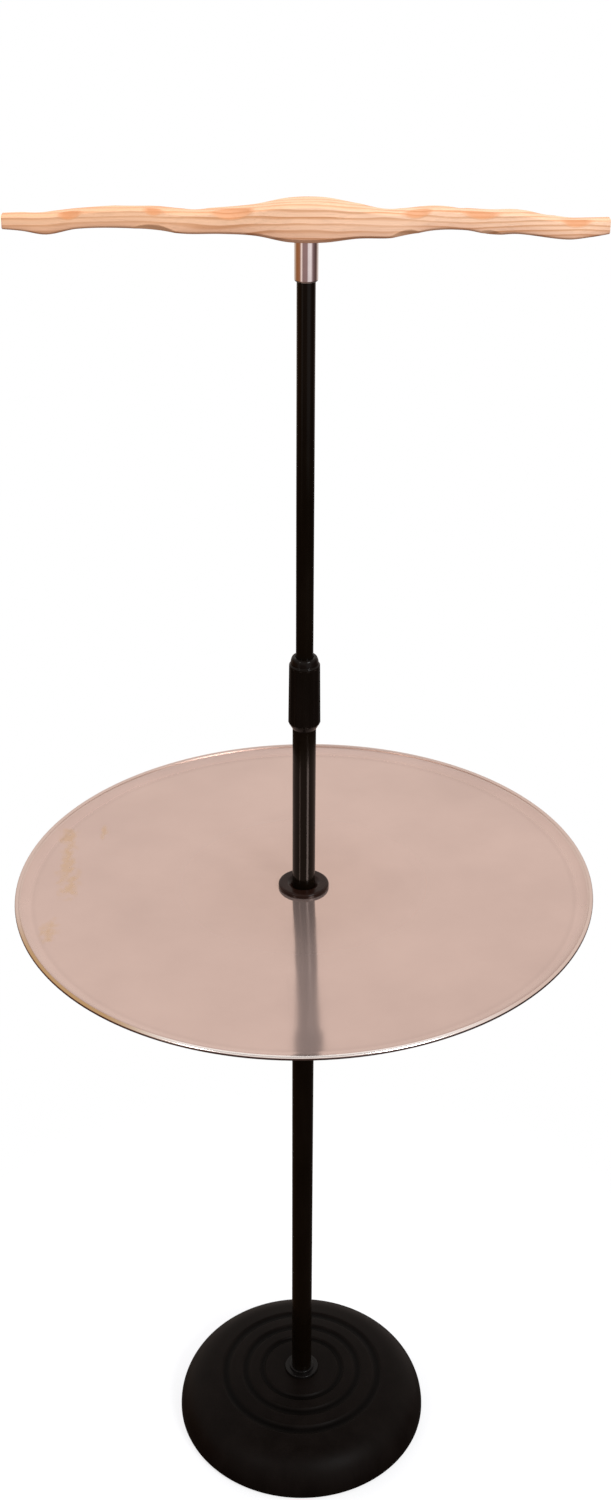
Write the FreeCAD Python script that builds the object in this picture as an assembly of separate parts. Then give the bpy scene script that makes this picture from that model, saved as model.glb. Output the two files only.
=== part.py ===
import FreeCAD, Part
import math
import os

# A free-standing bird training stand: a weighted round base, a telescoping column with a
# twist-lock clutch, a shallow round tray on a sliding collar, and a wavy pine perch on a steel sleeve.
# Millimetres, +Z up. The origin is on the floor, on the column's axis. The perch runs along X.

V = FreeCAD.Vector
ORIGIN = V(0, 0, 0)
UP = V(0, 0, 1)

# Driving dimensions of the base
base_diameter = 276.0
base_height = 57.0
base_pad_height = 3.0
pad_diameter = 22.0
pad_circle_diameter = 224.0
pad_count = 4
shell_wall = 4.0
shell_lower_round = 2.5
shell_straight_side = 1.0
crown_slope = 12.0
seat_diameter = 44.0
grooves = ((172.0, 11.0), (127.0, 10.0), (89.0, 7.5))
groove_depth = 2.2
groove_edge_round = 1.2
plate_thickness = 2.0
plate_clearance = 0.3
dish_diameter = 52.0
dish_height = 13.0
ballast_clearance = 0.3

# Driving dimensions of the column's foot
rod_diameter = 12.0
rod_hole_clearance = 0.5
rod_end_above_floor = 4.5
plug_length = 28.0
nut_across_flats = 18.0
nut_height = 7.0
foot_washer_diameter = 37.0
foot_washer_thickness = 3.0
foot_ring_diameter = 27.0
foot_ring_height = 2.5
foot_washer_round = 0.9

# Driving dimensions of the two tubes
lower_tube_diameter = 22.0
lower_tube_wall = 1.2
lower_tube_length = 854.0
upper_tube_diameter = 16.0
upper_tube_wall = 1.2
upper_tube_length = 780.0
press_gap = 0.05
plug_gap = 0.1
guide_gap = 0.25
guide_length = 60.0
guide_spigot_length = 25.0

# Driving dimensions of the clutch
grip_length = 73.0
grip_tube_overlap = 32.0
grip_low_diameter = 29.9
grip_high_diameter = 28.5
grip_chamfer_height = 6.0
grip_chamfer_end_wall = 0.9
grip_lip = 3.0
grip_gap = 0.3
nose_height = 8.0
nose_ledge = 1.0
nose_diameter = 26.0
nose_top_diameter = 22.4
nose_round = 1.8
flute_count = 12
flute_width = 5.0
flute_depth = 0.65
flute_end_below_shoulder = 4.5
ferrule_diameter = 24.8
ferrule_play = 1.0
ferrule_collar_height = 10.0
ferrule_thread_gap = 0.25
collet_diameter = 20.4
collet_straight = 14.0
collet_cone_height = 7.0
collet_tip_wall = 0.9
collet_slit_width = 1.6
collet_slit_count = 3
collet_root_height = 4.0
mast_gap = 0.1
mast_bore_gap = 0.5

# Driving dimensions of the perch and its sleeve
mast_extension = 344.0
sleeve_diameter = 20.0
sleeve_length = 34.0
sleeve_socket_depth = 20.0
sleeve_bottom_round = 1.7
sleeve_top_chamfer = 0.4
tube_in_sleeve = 4.0
stud_thread_length = 15.0
stud_diameter = 15.8
stud_spigot_length = 25.0
screw_diameter = 4.8
screw_head_diameter = 10.0
screw_head_height = 2.8
screw_in_wood = 25.0
screw_point_length = 6.0
screw_gap = 0.2
perch_spot_face_gap = 1.0
perch_corner_share = 0.2
# Stations along the perch: x, height of the middle over the seat, height, middle in y, depth.
perch_stations = (
    (-248, 13.8, 11.4, 0.5, 12.0),
    (-232, 13.2, 13.0, 1.5, 14.0),
    (-212, 11.9, 16.2, 2.4, 16.4),
    (-186, 16.2, 13.9, 0.2, 17.4),
    (-146, 18.5, 16.2, -2.8, 15.6),
    (-122, 16.9, 17.4, -1.8, 17.0),
    (-98, 14.0, 17.6, 1.4, 18.0),
    (-70, 14.5, 18.7, 2.2, 18.4),
    (-42, 15.6, 22.2, 0.5, 21.8),
    (-14, 15.8, 31.4, 0.0, 29.0),
    (14, 15.9, 32.0, 0.0, 29.0),
    (42, 15.3, 25.0, -0.5, 22.6),
    (72, 14.1, 20.8, -2.2, 19.0),
    (103, 18.1, 17.3, -1.0, 17.4),
    (130, 16.6, 15.4, 2.2, 16.4),
    (151, 14.3, 17.9, 1.9, 17.4),
    (172, 15.4, 17.2, -0.9, 17.0),
    (212, 10.5, 15.5, -2.3, 16.0),
    (232, 11.2, 13.8, -1.0, 14.0),
    (247, 12.5, 12.0, 0.0, 12.0),
)
# Scoops carved in the front edges: x, half length, depth from the square corner. The back edges
# have the same ones, turned end for end.
perch_top_scoops = (
    (-192, 11, 3.6),
    (-124, 9, 3.0),
    (-60, 19, 4.8),
    (90, 13, 3.8),
    (141, 18, 3.4),
    (219, 15, 3.2),
)
perch_low_scoops = (
    (-123, 20, 3.8),
    (80, 14, 3.8),
    (150, 11, 3.0),
)

# Driving dimensions of the tray and its carrier
tray_diameter = 559.0
tray_floor_height = 707.0
tray_sheet = 1.2
tray_rim_width = 15.0
tray_rim_rise = 5.0
tray_bead_diameter = 4.4
flange_diameter = 49.0
flange_thickness = 4.5
flange_round = 2.2
flange_crest_diameter = 30.0
flange_crest_round = 1.2
flange_throat_height = 1.2
neck_diameter = 27.0
neck_length = 15.0
neck_gap = 0.3
tube_running_gap = 0.3
gasket_diameter = 46.0
gasket_thickness = 1.0
ring_nut_diameter = 44.0
ring_nut_height = 8.0
ring_nut_notch_count = 8
ring_nut_notch_diameter = 6.0
collar_diameter = 40.0
collar_height = 15.0
collar_gap = 0.15
collar_chamfer = 0.8
carrier_gap = 0.2
thumb_screw_diameter = 6.0
thumb_screw_gap = 0.1
knob_diameter = 26.0
knob_thickness = 10.0
knob_hub_diameter = 14.0
knob_hub_length = 5.0
knob_stand_off = 1.5
knob_lobe_count = 6
knob_scallop_diameter = 10.0
knob_scallop_depth = 2.0
knob_edge_round = 1.0

# Levels and radii worked out from the driving dimensions
base_radius = base_diameter / 2
seat_radius = seat_diameter / 2
rod_radius = rod_diameter / 2
rod_hole_radius = rod_radius + rod_hole_clearance
plate_top = base_pad_height + plate_thickness
dish_top = base_pad_height + dish_height
side_top = base_pad_height + shell_lower_round + shell_straight_side
lower_tube_radius = lower_tube_diameter / 2
lower_tube_bore = lower_tube_radius - lower_tube_wall
lower_tube_foot = base_height + foot_washer_thickness
lower_tube_top = lower_tube_foot + lower_tube_length
upper_tube_radius = upper_tube_diameter / 2
upper_tube_bore = upper_tube_radius - upper_tube_wall
grip_bottom = lower_tube_top - grip_tube_overlap
grip_top = grip_bottom + grip_length
ferrule_radius = ferrule_diameter / 2
ferrule_bottom = grip_bottom + grip_lip + ferrule_play
ferrule_top = lower_tube_top + ferrule_collar_height
collet_radius = collet_diameter / 2
collet_bottom = ferrule_top + grip_gap
collet_shoulder = collet_bottom + collet_straight
collet_top = collet_shoulder + collet_cone_height
collet_bore = upper_tube_radius + mast_gap
collet_tip_radius = collet_bore + collet_tip_wall
mast_bore = upper_tube_radius + mast_bore_gap
sleeve_bottom = grip_top + mast_extension
sleeve_top = sleeve_bottom + sleeve_length
sleeve_web = sleeve_bottom + sleeve_socket_depth
sleeve_radius = sleeve_diameter / 2
sleeve_bore = upper_tube_radius + mast_gap
upper_tube_top = sleeve_bottom + tube_in_sleeve
upper_tube_bottom = upper_tube_top - upper_tube_length
screw_radius = screw_diameter / 2
screw_tip = sleeve_top + screw_in_wood
tray_radius = tray_diameter / 2
tray_underside = tray_floor_height - tray_sheet
neck_radius = neck_diameter / 2
neck_bottom = tray_underside - neck_length
tray_hole_radius = neck_radius + neck_gap
gasket_bottom = tray_underside - gasket_thickness
ring_nut_bottom = gasket_bottom - ring_nut_height
collar_top = neck_bottom - carrier_gap
collar_bottom = collar_top - collar_height
collar_middle = (collar_top + collar_bottom) / 2
collar_radius = collar_diameter / 2
thumb_screw_radius = thumb_screw_diameter / 2
thumb_screw_tip = lower_tube_radius + thumb_screw_gap
knob_hub_start = collar_radius + knob_stand_off
knob_start = knob_hub_start + knob_hub_length
knob_end = knob_start + knob_thickness

# The base's skin in section: a flat seat, a crown arc that leaves it level, and a shoulder arc
# that carries on tangent to the crown and ends upright at the side.
slope = math.radians(crown_slope)
crown_share = math.tan(slope / 2)
shoulder_radius = (base_height - side_top - crown_share * (base_radius - seat_radius)) / (
    math.cos(slope) - crown_share * (1 - math.sin(slope))
)
shoulder_centre = base_radius - shoulder_radius
crown_end_radius = shoulder_centre + shoulder_radius * math.sin(slope)
crown_radius = (crown_end_radius - seat_radius) / math.sin(slope)


def line(start, end):
    return Part.LineSegment(V(start[0], 0, start[1]), V(end[0], 0, end[1])).toShape()


def arc(centre, radius, start, end):
    """Arc in the XZ plane between two angles, in radians from the outward direction."""
    angles = (start, (start + end) / 2, end)
    points = [V(centre[0] + radius * math.cos(a), 0, centre[1] + radius * math.sin(a)) for a in angles]
    return Part.Arc(*points).toShape()


def ends(edge):
    first, last = edge.Vertexes[0].Point, edge.Vertexes[-1].Point
    return (first.x, first.z), (last.x, last.z)


def turned(edges):
    """Solid turned about the column's axis from a closed chain of edges."""
    return Part.Face(Part.Wire(edges)).revolve(ORIGIN, UP, 360)


def turned_outline(points):
    corners = list(points) + [points[0]]
    return turned([line(a, b) for a, b in zip(corners, corners[1:])])


def ring(outer, inner, low, high):
    return turned_outline([(inner, low), (outer, low), (outer, high), (inner, high)])


def circle_edges(shape, radius, height, reach=0.3):
    """Round edges of a shape about the column's axis, near a radius and a height."""
    return [
        edge
        for edge in shape.Edges
        if isinstance(edge.Curve, Part.Circle)
        and abs(edge.Curve.Radius - radius) < reach
        and abs(edge.Curve.Center.z - height) < reach
    ]


def around(shape, count):
    """Copies of a shape spread evenly about the column's axis."""
    copies = []
    for index in range(count):
        copy = shape.copy()
        copy.rotate(ORIGIN, UP, 360 * index / count)
        copies.append(copy)
    return copies


def along_x(shape):
    """A shape built up the Z axis, laid along +X at the collar's middle."""
    laid = shape.copy()
    laid.rotate(ORIGIN, V(0, 1, 0), 90)
    laid.translate(V(0, 0, collar_middle))
    return laid


def crown_point(angle, height=0.0):
    """Point over the crown's arc, at an angle in radians from the upright at the seat's edge."""
    reach = crown_radius + height
    return V(seat_radius + reach * math.sin(angle), 0, base_height - crown_radius + reach * math.cos(angle))


def crown_arc(start, end, inset=0.0):
    return Part.Arc(*[crown_point(a, -inset) for a in (start, (start + end) / 2, end)]).toShape()


def groove_lip(centre, lip, on_crown, section):
    """Rounded edge between the crown and a groove, and the point where it meets the groove."""
    on_groove = centre + (lip - centre) * (section / (section + groove_edge_round))
    middle = (on_crown - lip) + (on_groove - lip)
    middle.normalize()
    return Part.Arc(on_crown, lip + middle * groove_edge_round, on_groove).toShape(), on_groove


def grooved_crown():
    """The crown's arc from the shoulder in to the seat, with its round-bottomed grooves."""
    edges = []
    reached = slope
    for diameter, width in grooves:
        angle = math.asin((diameter / 2 - seat_radius) / crown_radius)
        section = (width**2 / 4 + groove_depth**2) / (2 * groove_depth)
        rise = section - groove_depth
        centre = crown_point(angle, rise)
        lip_reach = crown_radius - groove_edge_round
        away = crown_radius + rise
        spread = math.acos(
            (lip_reach**2 + away**2 - (section + groove_edge_round) ** 2) / (2 * lip_reach * away)
        )
        outer_lip, outer_foot = groove_lip(
            centre, crown_point(angle + spread, -groove_edge_round), crown_point(angle + spread), section
        )
        inner_lip, inner_foot = groove_lip(
            centre, crown_point(angle - spread, -groove_edge_round), crown_point(angle - spread), section
        )
        bottom = Part.Arc(outer_foot, crown_point(angle, -groove_depth), inner_foot).toShape()
        edges += [crown_arc(reached, angle + spread), outer_lip, bottom, inner_lip]
        reached = angle - spread
    return edges + [crown_arc(reached, 0)]


def dome(inset, floor, lower_round=0.0, crown_edges=None):
    """The base's solid form, drawn in by an inset from its outer skin."""
    side = base_radius - inset
    edges = [line((0, floor), (side - lower_round, floor))]
    if lower_round:
        edges.append(arc((side - lower_round, floor + lower_round), lower_round, -math.pi / 2, 0))
    edges.append(line((side, floor + lower_round), (side, side_top)))
    edges.append(arc((shoulder_centre, side_top), shoulder_radius - inset, 0, math.pi / 2 - slope))
    edges += crown_edges or [crown_arc(slope, 0, inset)]
    top = base_height - inset
    edges += [line((seat_radius, top), (0, top)), line((0, top), (0, floor))]
    return turned(edges)


def base_shell():
    """Moulded shell with round grooves in its crown, open below."""
    outer = dome(0, base_pad_height, shell_lower_round, grooved_crown())
    shell = outer.cut(dome(shell_wall, base_pad_height))
    return shell.cut(Part.makeCylinder(rod_hole_radius, base_height + 1))


def base_ballast():
    """Cast weight that fills the shell and stands on the plate."""
    weight = dome(shell_wall + ballast_clearance, plate_top)
    weight = weight.cut(Part.makeCylinder(rod_hole_radius, base_height))
    pocket = Part.makeCylinder(dish_diameter / 2 + ballast_clearance, dish_top)
    return weight.cut(pocket)


def base_plate():
    """Pressed steel plate with a raised dish that takes the nut."""
    rim = base_radius - shell_wall - plate_clearance
    dish = dish_diameter / 2
    inside = dish - plate_thickness
    return turned_outline(
        [
            (rod_hole_radius, dish_top - plate_thickness),
            (inside, dish_top - plate_thickness),
            (inside, base_pad_height),
            (rim, base_pad_height),
            (rim, plate_top),
            (dish, plate_top),
            (dish, dish_top),
            (rod_hole_radius, dish_top),
        ]
    )


def foot_pads():
    """Rubber pads under the plate, as one group."""
    pad = Part.makeCylinder(pad_diameter / 2, base_pad_height, V(pad_circle_diameter / 2, 0, 0))
    first_turn = 180 / pad_count
    pad.rotate(ORIGIN, UP, first_turn)
    return Part.makeCompound(around(pad, pad_count))


def base_nut():
    """Hexagon nut in the plate's dish that draws the base together."""
    corner = nut_across_flats / 2 / math.cos(math.pi / 6)
    turns = [k * math.pi / 3 for k in range(7)]
    corners = [V(corner * math.cos(turn), corner * math.sin(turn), 0) for turn in turns]
    nut = Part.Face(Part.makePolygon(corners)).extrude(V(0, 0, nut_height))
    nut = nut.cut(Part.makeCylinder(rod_radius + press_gap, nut_height))
    nut.translate(V(0, 0, dish_top - plate_thickness - nut_height))
    return nut


def foot_washer():
    """Stepped collar that the column stands on, with a ring round the tube's foot."""
    disc, ring_out = foot_washer_diameter / 2, foot_ring_diameter / 2
    ring_in = lower_tube_radius + press_gap
    ring_top = lower_tube_foot + foot_ring_height
    washer = turned_outline(
        [
            (rod_hole_radius, base_height),
            (disc, base_height),
            (disc, lower_tube_foot),
            (ring_out, lower_tube_foot),
            (ring_out, ring_top),
            (ring_in, ring_top),
            (ring_in, lower_tube_foot),
            (rod_hole_radius, lower_tube_foot),
        ]
    )
    lips = circle_edges(washer, disc, lower_tube_foot) + circle_edges(washer, ring_out, ring_top)
    return washer.makeFillet(foot_washer_round, lips)


def column_stud():
    """Threaded rod with a plug that is pressed into the lower tube."""
    plug = lower_tube_bore - plug_gap
    return turned_outline(
        [
            (0, rod_end_above_floor),
            (rod_radius, rod_end_above_floor),
            (rod_radius, lower_tube_foot),
            (plug, lower_tube_foot),
            (plug, lower_tube_foot + plug_length),
            (0, lower_tube_foot + plug_length),
        ]
    )


def lower_tube():
    return ring(lower_tube_radius, lower_tube_bore, lower_tube_foot, lower_tube_top)


def clutch_ferrule():
    """Threaded ferrule on the lower tube's end, which the grip screws on."""
    socket = lower_tube_radius + press_gap
    return turned_outline(
        [
            (socket, ferrule_bottom),
            (ferrule_radius, ferrule_bottom),
            (ferrule_radius, ferrule_top),
            (mast_bore, ferrule_top),
            (mast_bore, lower_tube_top),
            (socket, lower_tube_top),
        ]
    )


def clutch_collet():
    """Split cone that grips the upper tube when the grip is screwed down."""
    collet = turned_outline(
        [
            (collet_bore, collet_bottom),
            (collet_radius, collet_bottom),
            (collet_radius, collet_shoulder),
            (collet_tip_radius, collet_top),
            (collet_bore, collet_top),
        ]
    )
    slit_length = collet_top - collet_bottom - collet_root_height
    slit = Part.makeBox(
        collet_diameter,
        collet_slit_width,
        slit_length,
        V(0, -collet_slit_width / 2, collet_bottom + collet_root_height),
    )
    return collet.cut(Part.makeCompound(around(slit, collet_slit_count)))


def grip_flute(low, high, body_bottom, shoulder):
    """Cutter for one flute: a rod that follows the grip's taper and has a round upper end."""
    cutter_radius = (flute_width**2 / 4 + flute_depth**2) / (2 * flute_depth)
    end_reach = math.sqrt(2 * cutter_radius * flute_depth - flute_depth**2)
    end_height = shoulder - flute_end_below_shoulder - end_reach
    taper = (low - high) / (shoulder - body_bottom)
    end_radius = high + taper * (shoulder - end_height)
    rod = Part.makeCylinder(cutter_radius, grip_length, V(0, 0, -grip_length))
    rod = rod.fuse(Part.makeSphere(cutter_radius))
    rod.rotate(ORIGIN, V(0, 1, 0), -math.degrees(math.atan(taper)))
    rod.translate(V(end_radius + cutter_radius - flute_depth, 0, end_height))
    rod.rotate(ORIGIN, UP, 180 / flute_count)
    return rod


def clutch_grip():
    """Tapered grip with upright flutes, a domed nose and a cone inside that closes the collet."""
    low, high = grip_low_diameter / 2, grip_high_diameter / 2
    body_bottom = grip_bottom + grip_chamfer_height
    shoulder = grip_top - nose_height
    nose_foot, nose_top = nose_diameter / 2, nose_top_diameter / 2
    nose_rise = nose_height - nose_ledge
    dome_radius = ((nose_foot - nose_top) ** 2 + nose_rise**2) / (2 * (nose_foot - nose_top))
    dome_centre = (nose_foot - dome_radius, shoulder + nose_ledge)
    thread = ferrule_radius + ferrule_thread_gap
    chamber = collet_radius + grip_gap
    corners = [
        (nose_top, grip_top),
        (mast_bore, grip_top),
        (mast_bore, collet_top + grip_gap),
        (collet_tip_radius + grip_gap, collet_top + grip_gap),
        (chamber, collet_shoulder + grip_gap),
        (chamber, ferrule_top + ferrule_play),
        (thread, ferrule_top + ferrule_play),
        (thread, grip_bottom + grip_lip),
        (lower_tube_radius + grip_gap, grip_bottom + grip_lip),
        (lower_tube_radius + grip_gap, grip_bottom),
        (lower_tube_radius + grip_gap + grip_chamfer_end_wall, grip_bottom),
        (low, body_bottom),
        (high, shoulder),
        (nose_foot, shoulder + nose_ledge),
    ]
    dome_edge = arc(dome_centre, dome_radius, 0, math.asin(nose_rise / dome_radius))
    grip = turned([dome_edge] + [line(a, b) for a, b in zip(corners, corners[1:])])
    grip = grip.cut(Part.makeCompound(around(grip_flute(low, high, body_bottom, shoulder), flute_count)))
    return grip.makeFillet(nose_round, circle_edges(grip, nose_top, grip_top))


def upper_tube():
    return ring(upper_tube_radius, upper_tube_bore, upper_tube_bottom, upper_tube_top)


def mast_guide():
    """Plastic bush at the upper tube's foot that runs in the lower tube and stops under the ferrule."""
    barrel = lower_tube_bore - guide_gap
    spigot = upper_tube_bore - plug_gap
    return turned_outline(
        [
            (0, upper_tube_bottom - guide_length),
            (barrel, upper_tube_bottom - guide_length),
            (barrel, upper_tube_bottom),
            (spigot, upper_tube_bottom),
            (spigot, upper_tube_bottom + guide_spigot_length),
            (0, upper_tube_bottom + guide_spigot_length),
        ]
    )


def mast_stud():
    """Threaded end pressed into the upper tube, which the perch's sleeve screws on."""
    spigot = upper_tube_bore - plug_gap
    return turned_outline(
        [
            (0, upper_tube_top - stud_spigot_length),
            (spigot, upper_tube_top - stud_spigot_length),
            (spigot, upper_tube_top),
            (stud_diameter / 2, upper_tube_top),
            (stud_diameter / 2, upper_tube_top + stud_thread_length),
            (0, upper_tube_top + stud_thread_length),
        ]
    )


def perch_sleeve():
    """Stainless sleeve with a socket below and a countersunk web under the perch."""
    hole = screw_radius + screw_gap
    sink = screw_head_diameter / 2 + screw_gap
    sleeve = turned_outline(
        [
            (sleeve_bore, sleeve_bottom),
            (sleeve_radius, sleeve_bottom),
            (sleeve_radius, sleeve_top),
            (hole, sleeve_top),
            (hole, sleeve_web + screw_head_height),
            (sink, sleeve_web),
            (sleeve_bore, sleeve_web),
        ]
    )
    sleeve = sleeve.makeFillet(sleeve_bottom_round, circle_edges(sleeve, sleeve_radius, sleeve_bottom))
    return sleeve.makeChamfer(sleeve_top_chamfer, circle_edges(sleeve, sleeve_radius, sleeve_top))


def perch_screw():
    """Countersunk wood screw from the sleeve's web up into the perch."""
    return turned_outline(
        [
            (0, sleeve_web),
            (screw_head_diameter / 2, sleeve_web),
            (screw_radius, sleeve_web + screw_head_height),
            (screw_radius, screw_tip - screw_point_length),
            (0, screw_tip),
        ]
    )


def perch_section(x, middle_z, height, middle_y, depth):
    """Rounded rectangle across the perch at one station."""
    round_off = perch_corner_share * min(height, depth)
    half_y, half_z = depth / 2 - round_off, height / 2 - round_off
    edges = []
    corners = ((1, 1, 0), (-1, 1, 90), (-1, -1, 180), (1, -1, 270))
    ends_of_arcs = []
    for side_y, side_z, turn in corners:
        centre = V(x, middle_y + side_y * half_y, middle_z + side_z * half_z)
        points = []
        for degrees in (turn, turn + 45, turn + 90):
            angle = math.radians(degrees)
            points.append(centre + V(0, round_off * math.cos(angle), round_off * math.sin(angle)))
        ends_of_arcs.append(points)
    for index, points in enumerate(ends_of_arcs):
        following = ends_of_arcs[(index + 1) % len(ends_of_arcs)]
        edges.append(Part.Arc(*points).toShape())
        edges.append(Part.LineSegment(points[-1], following[0]).toShape())
    return Part.Wire(edges)


def perch_corner(x, side_y, side_z):
    """Where the perch's square corner would be at x, between its stations."""
    for near, far in zip(perch_stations, perch_stations[1:]):
        if near[0] <= x <= far[0]:
            share = (x - near[0]) / (far[0] - near[0])
            middle_z, height, middle_y, depth = [a + share * (b - a) for a, b in zip(near[1:], far[1:])]
            return V(x, middle_y + side_y * depth / 2, sleeve_top + middle_z + side_z * height / 2)


def scoop(x, half_length, depth, side_y, side_z):
    """Round cutter laid across one edge of the perch, square to its length."""
    radius = (half_length**2 + depth**2) / (2 * depth)
    outwards = V(0, side_y, side_z).normalize()
    across = V(0, -side_z, side_y).normalize()
    centre = perch_corner(x, side_y, side_z) + outwards * (radius - depth)
    return Part.makeCylinder(radius, 2 * half_length, centre - across * half_length, across)


def perch():
    """Wavy pine perch, lofted through its stations and carved, with a seat and a pilot hole below."""
    sections = [
        perch_section(x, sleeve_top + middle_z, height, middle_y, depth)
        for x, middle_z, height, middle_y, depth in perch_stations
    ]
    wood = Part.makeLoft(sections, True, False)
    for side_z, rows in ((1, perch_top_scoops), (-1, perch_low_scoops)):
        for x, half_length, depth in rows:
            wood = wood.cut(scoop(x, half_length, depth, -1, side_z))
            wood = wood.cut(scoop(-x, half_length, depth, 1, side_z))
    seat = Part.makeCylinder(sleeve_radius + perch_spot_face_gap, sleeve_length, V(0, 0, sleeve_bottom))
    pilot = Part.makeCylinder(screw_radius + screw_gap, screw_in_wood + screw_gap, V(0, 0, sleeve_top))
    return wood.cut(seat).cut(pilot)


def tray():
    """Spun aluminium tray: flat floor, upswept rim and a rolled bead at the edge."""
    bead = tray_bead_diameter / 2
    bend = (tray_rim_width**2 + tray_rim_rise**2) / (2 * tray_rim_rise)
    sweep = math.asin(tray_rim_width / bend)
    middle_bend = bend + tray_sheet / 2
    bend_start = tray_radius - bead - middle_bend * math.sin(sweep)
    centre = (bend_start, tray_floor_height + bend)
    upper = arc(centre, bend, -math.pi / 2, -math.pi / 2 + sweep)
    under = arc(centre, bend + tray_sheet, -math.pi / 2 + sweep, -math.pi / 2)
    sheet = turned(
        [
            line((tray_hole_radius, tray_floor_height), (bend_start, tray_floor_height)),
            upper,
            line(ends(upper)[1], ends(under)[0]),
            under,
            line((bend_start, tray_underside), (tray_hole_radius, tray_underside)),
            line((tray_hole_radius, tray_underside), (tray_hole_radius, tray_floor_height)),
        ]
    )
    bead_height = centre[1] - middle_bend * math.cos(sweep)
    return sheet.fuse(Part.makeTorus(tray_radius - bead, bead, V(0, 0, bead_height), UP))


def tray_flange():
    """Flanged bush through the tray's hole, dished round the tube and threaded below for the ring nut."""
    top = tray_floor_height + flange_thickness
    bore = lower_tube_radius + tube_running_gap
    rim, crest = flange_diameter / 2, flange_crest_diameter / 2
    flange = turned_outline(
        [
            (bore, neck_bottom),
            (neck_radius, neck_bottom),
            (neck_radius, tray_floor_height),
            (rim, tray_floor_height),
            (rim, top),
            (crest, top),
            (bore, tray_floor_height + flange_throat_height),
        ]
    )
    flange = flange.makeFillet(flange_round, circle_edges(flange, rim, top))
    return flange.makeFillet(flange_crest_round, circle_edges(flange, crest, top))


def tray_gasket():
    return ring(gasket_diameter / 2, tray_hole_radius, gasket_bottom, tray_underside)


def tray_nut():
    """Notched ring nut that clamps the tray up against the flange."""
    nut = ring(ring_nut_diameter / 2, neck_radius + press_gap, ring_nut_bottom, gasket_bottom)
    notch = Part.makeCylinder(
        ring_nut_notch_diameter / 2, ring_nut_height, V(ring_nut_diameter / 2, 0, ring_nut_bottom)
    )
    return nut.cut(Part.makeCompound(around(notch, ring_nut_notch_count)))


def tray_collar():
    """Sliding collar under the tray, tapped for the thumb screw."""
    collar = ring(collar_radius, lower_tube_radius + collar_gap, collar_bottom, collar_top)
    rims = circle_edges(collar, collar_radius, collar_bottom)
    rims += circle_edges(collar, collar_radius, collar_top)
    collar = collar.makeChamfer(collar_chamfer, rims)
    tapping = Part.makeCylinder(thumb_screw_radius + press_gap, collar_diameter)
    return collar.cut(along_x(tapping))


def collar_screw():
    """Steel thumb screw whose tip bears on the lower tube."""
    length = knob_end - knob_thickness / 3 - thumb_screw_tip
    return along_x(Part.makeCylinder(thumb_screw_radius, length, V(0, 0, thumb_screw_tip)))


def collar_knob():
    """Lobed plastic knob on the thumb screw."""
    knob = Part.makeCylinder(knob_diameter / 2, knob_thickness, V(0, 0, knob_start))
    scallop_centre = knob_diameter / 2 - knob_scallop_depth + knob_scallop_diameter / 2
    scallop = Part.makeCylinder(
        knob_scallop_diameter / 2, knob_thickness, V(scallop_centre, 0, knob_start)
    )
    knob = knob.cut(Part.makeCompound(around(scallop, knob_lobe_count)))
    face_edges = [edge for edge in knob.Edges if abs(edge.CenterOfMass.z - knob_end) < 0.01]
    knob = knob.makeFillet(knob_edge_round, face_edges)
    knob = knob.fuse(Part.makeCylinder(knob_hub_diameter / 2, knob_hub_length, V(0, 0, knob_hub_start)))
    socket_depth = knob_end - knob_thickness / 3 - knob_hub_start
    socket = Part.makeCylinder(thumb_screw_radius + press_gap, socket_depth, V(0, 0, knob_hub_start))
    return along_x(knob.cut(socket).removeSplitter())


parts = (
    base_shell,
    base_ballast,
    base_plate,
    foot_pads,
    base_nut,
    foot_washer,
    column_stud,
    lower_tube,
    clutch_ferrule,
    clutch_collet,
    clutch_grip,
    upper_tube,
    mast_guide,
    mast_stud,
    perch_sleeve,
    perch_screw,
    perch,
    tray,
    tray_flange,
    tray_gasket,
    tray_nut,
    tray_collar,
    collar_screw,
    collar_knob,
)

os.makedirs("parts", exist_ok=True)
for make in parts:
    shape = make()
    size = f"{len(shape.Solids)} solid, {shape.Volume / 1000:.1f} cm3"
    print(f"{make.__name__}: {size}, valid {shape.isValid()}")
    shape.exportStep(f"parts/{make.__name__}.step")
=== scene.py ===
import math

import bmesh
import bpy
from mathutils import Matrix, Vector


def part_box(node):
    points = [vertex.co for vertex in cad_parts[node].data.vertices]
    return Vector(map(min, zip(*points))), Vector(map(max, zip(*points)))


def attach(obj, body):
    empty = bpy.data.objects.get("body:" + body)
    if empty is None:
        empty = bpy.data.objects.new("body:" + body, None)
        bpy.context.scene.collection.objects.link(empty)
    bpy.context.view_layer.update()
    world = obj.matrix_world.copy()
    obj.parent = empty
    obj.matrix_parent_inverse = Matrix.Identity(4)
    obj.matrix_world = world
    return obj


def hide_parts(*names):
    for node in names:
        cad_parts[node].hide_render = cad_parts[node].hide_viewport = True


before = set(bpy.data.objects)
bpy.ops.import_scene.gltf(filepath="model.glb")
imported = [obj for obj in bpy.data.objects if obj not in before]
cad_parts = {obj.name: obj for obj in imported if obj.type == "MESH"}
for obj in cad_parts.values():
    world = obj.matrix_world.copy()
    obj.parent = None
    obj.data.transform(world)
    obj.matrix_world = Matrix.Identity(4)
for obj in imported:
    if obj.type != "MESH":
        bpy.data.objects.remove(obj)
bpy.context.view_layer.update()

scene = bpy.context.scene
scene.view_settings.view_transform = "Standard"


# camera, floor and light

cameraSetup = {
    "place": (0.0012, -1.559, 1.7061),
    "tilt": 28.56,           # degrees down from the horizon
    "roll": 0.264,
    "focal": 1892 / 1500,    # focal length over the picture's long side
    "sensor": 36,
}


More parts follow.
